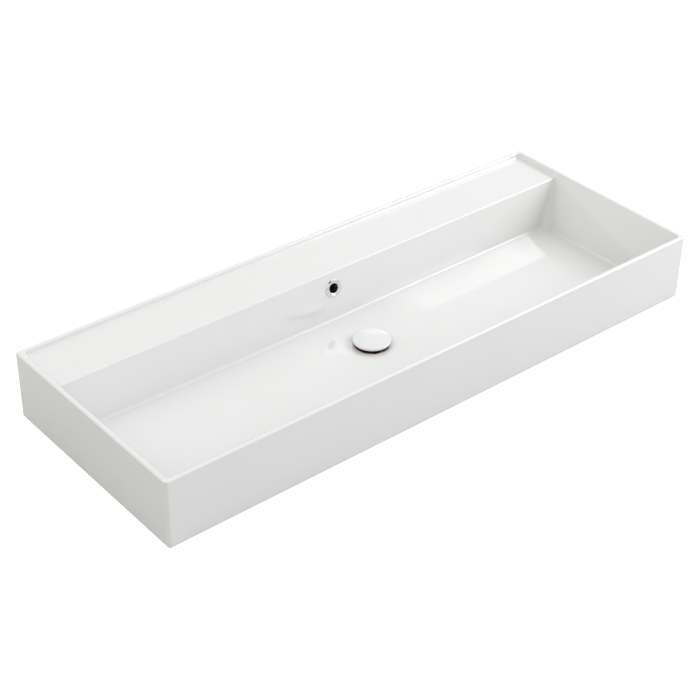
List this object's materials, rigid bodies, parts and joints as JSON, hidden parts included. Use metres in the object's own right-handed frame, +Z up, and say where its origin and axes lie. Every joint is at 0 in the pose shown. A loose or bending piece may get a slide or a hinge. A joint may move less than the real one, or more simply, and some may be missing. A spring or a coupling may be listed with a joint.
{
  "type": "washbasin",
  "caption": "Wide wall-hung ceramic washbasin with a thin rim, a sunk deck without tap hole, an overflow ring and a push-to-open ceramic waste plug.",
  "frame": {"origin": "middle of the line between the two wall bolt holes, on the wall face", "axes": "+X along the basin to the right seen from the front, +Y into the wall, +Z up"},
  "size_m": [1.2, 0.455, 0.193],
  "materials": {
    "basin_glaze": "gloss",
    "cap_glaze": "gloss",
    "ring_chrome": "polished",
    "waste_chrome": "polished",
    "gasket_rubber": "matte",
    "seal_rubber": "matte",
    "washer_plastic": "matte",
    "nut_brass": "machined",
    "carrier_plastic": "matte",
    "stud_steel": "zinc plated",
    "plunger_plastic": "satin",
    "spring_steel": "drawn wire",
    "housing_plastic": "satin"
  },
  "bodies": {
    "basin_and_waste": {"basin": "basin_glaze", "overflow_ring": "ring_chrome", "waste_body": "waste_chrome", "flange_gasket": "gasket_rubber", "lower_gasket": "gasket_rubber", "slip_washer": "washer_plastic", "backnut": "nut_brass", "cartridge_housing": "housing_plastic", "cartridge_end_cap": "housing_plastic", "cartridge_nut": "housing_plastic", "cartridge_spring": "spring_steel"},
    "plug": {"plug_cap": "cap_glaze", "cap_carrier": "carrier_plastic", "cap_seal": "seal_rubber", "spindle": "stud_steel", "lock_nut": "stud_steel", "cartridge_plunger": "plunger_plastic", "cartridge_rotor": "plunger_plastic"}
  },
  "joints": [
    {"name": "plug_slide", "type": "slide", "parent": "basin_and_waste", "child": "plug", "axis": [0, 0, 1], "range_m": [-0.0055, 0], "stiffness_N_per_m": 600, "springref_m": 0.008, "deforming": ["cartridge_spring"]}
  ]
}
